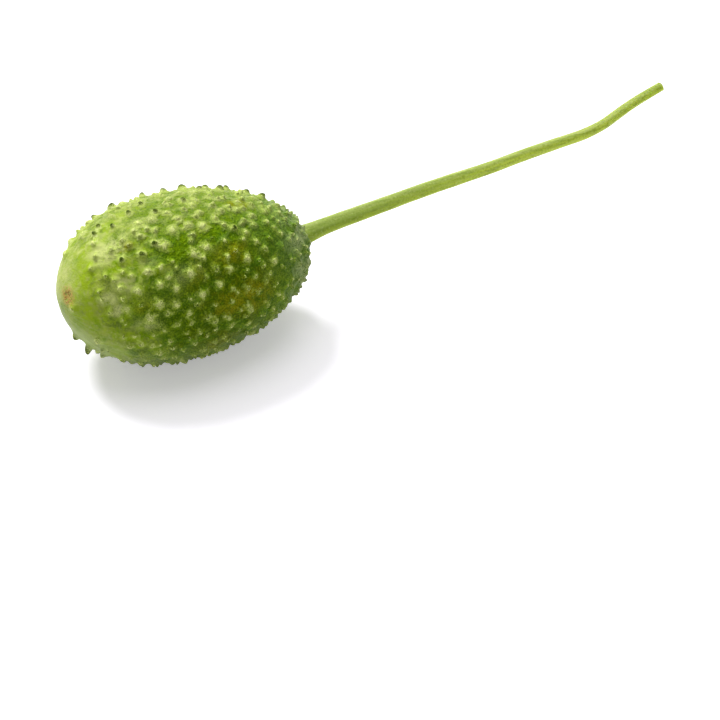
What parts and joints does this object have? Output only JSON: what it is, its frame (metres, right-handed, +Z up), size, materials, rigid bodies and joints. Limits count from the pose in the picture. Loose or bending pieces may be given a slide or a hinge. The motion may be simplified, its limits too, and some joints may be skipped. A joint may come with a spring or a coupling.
{
  "type": "west indian gherkin",
  "caption": "Small oval green gherkin fruit covered in short soft prickles, lying on its side with its long thin curved stalk still on.",
  "frame": {"origin": "middle of the small flat under the fruit where it rests", "axes": "+X along the fruit from the blossom end towards the stalk, +Z up, +Y to the left of the stalk's way"},
  "size_m": [0.1849, 0.0469, 0.0429],
  "materials": {
    "rind": "waxy prickly green rind with paler mounds, darker streaks and a corky blossom scar",
    "stalk_skin": "smooth satin yellow-green stalk with faint long ridges"
  },
  "bodies": {
    "root": {"fruit": "rind", "stem": "stalk_skin"}
  },
  "joints": []
}
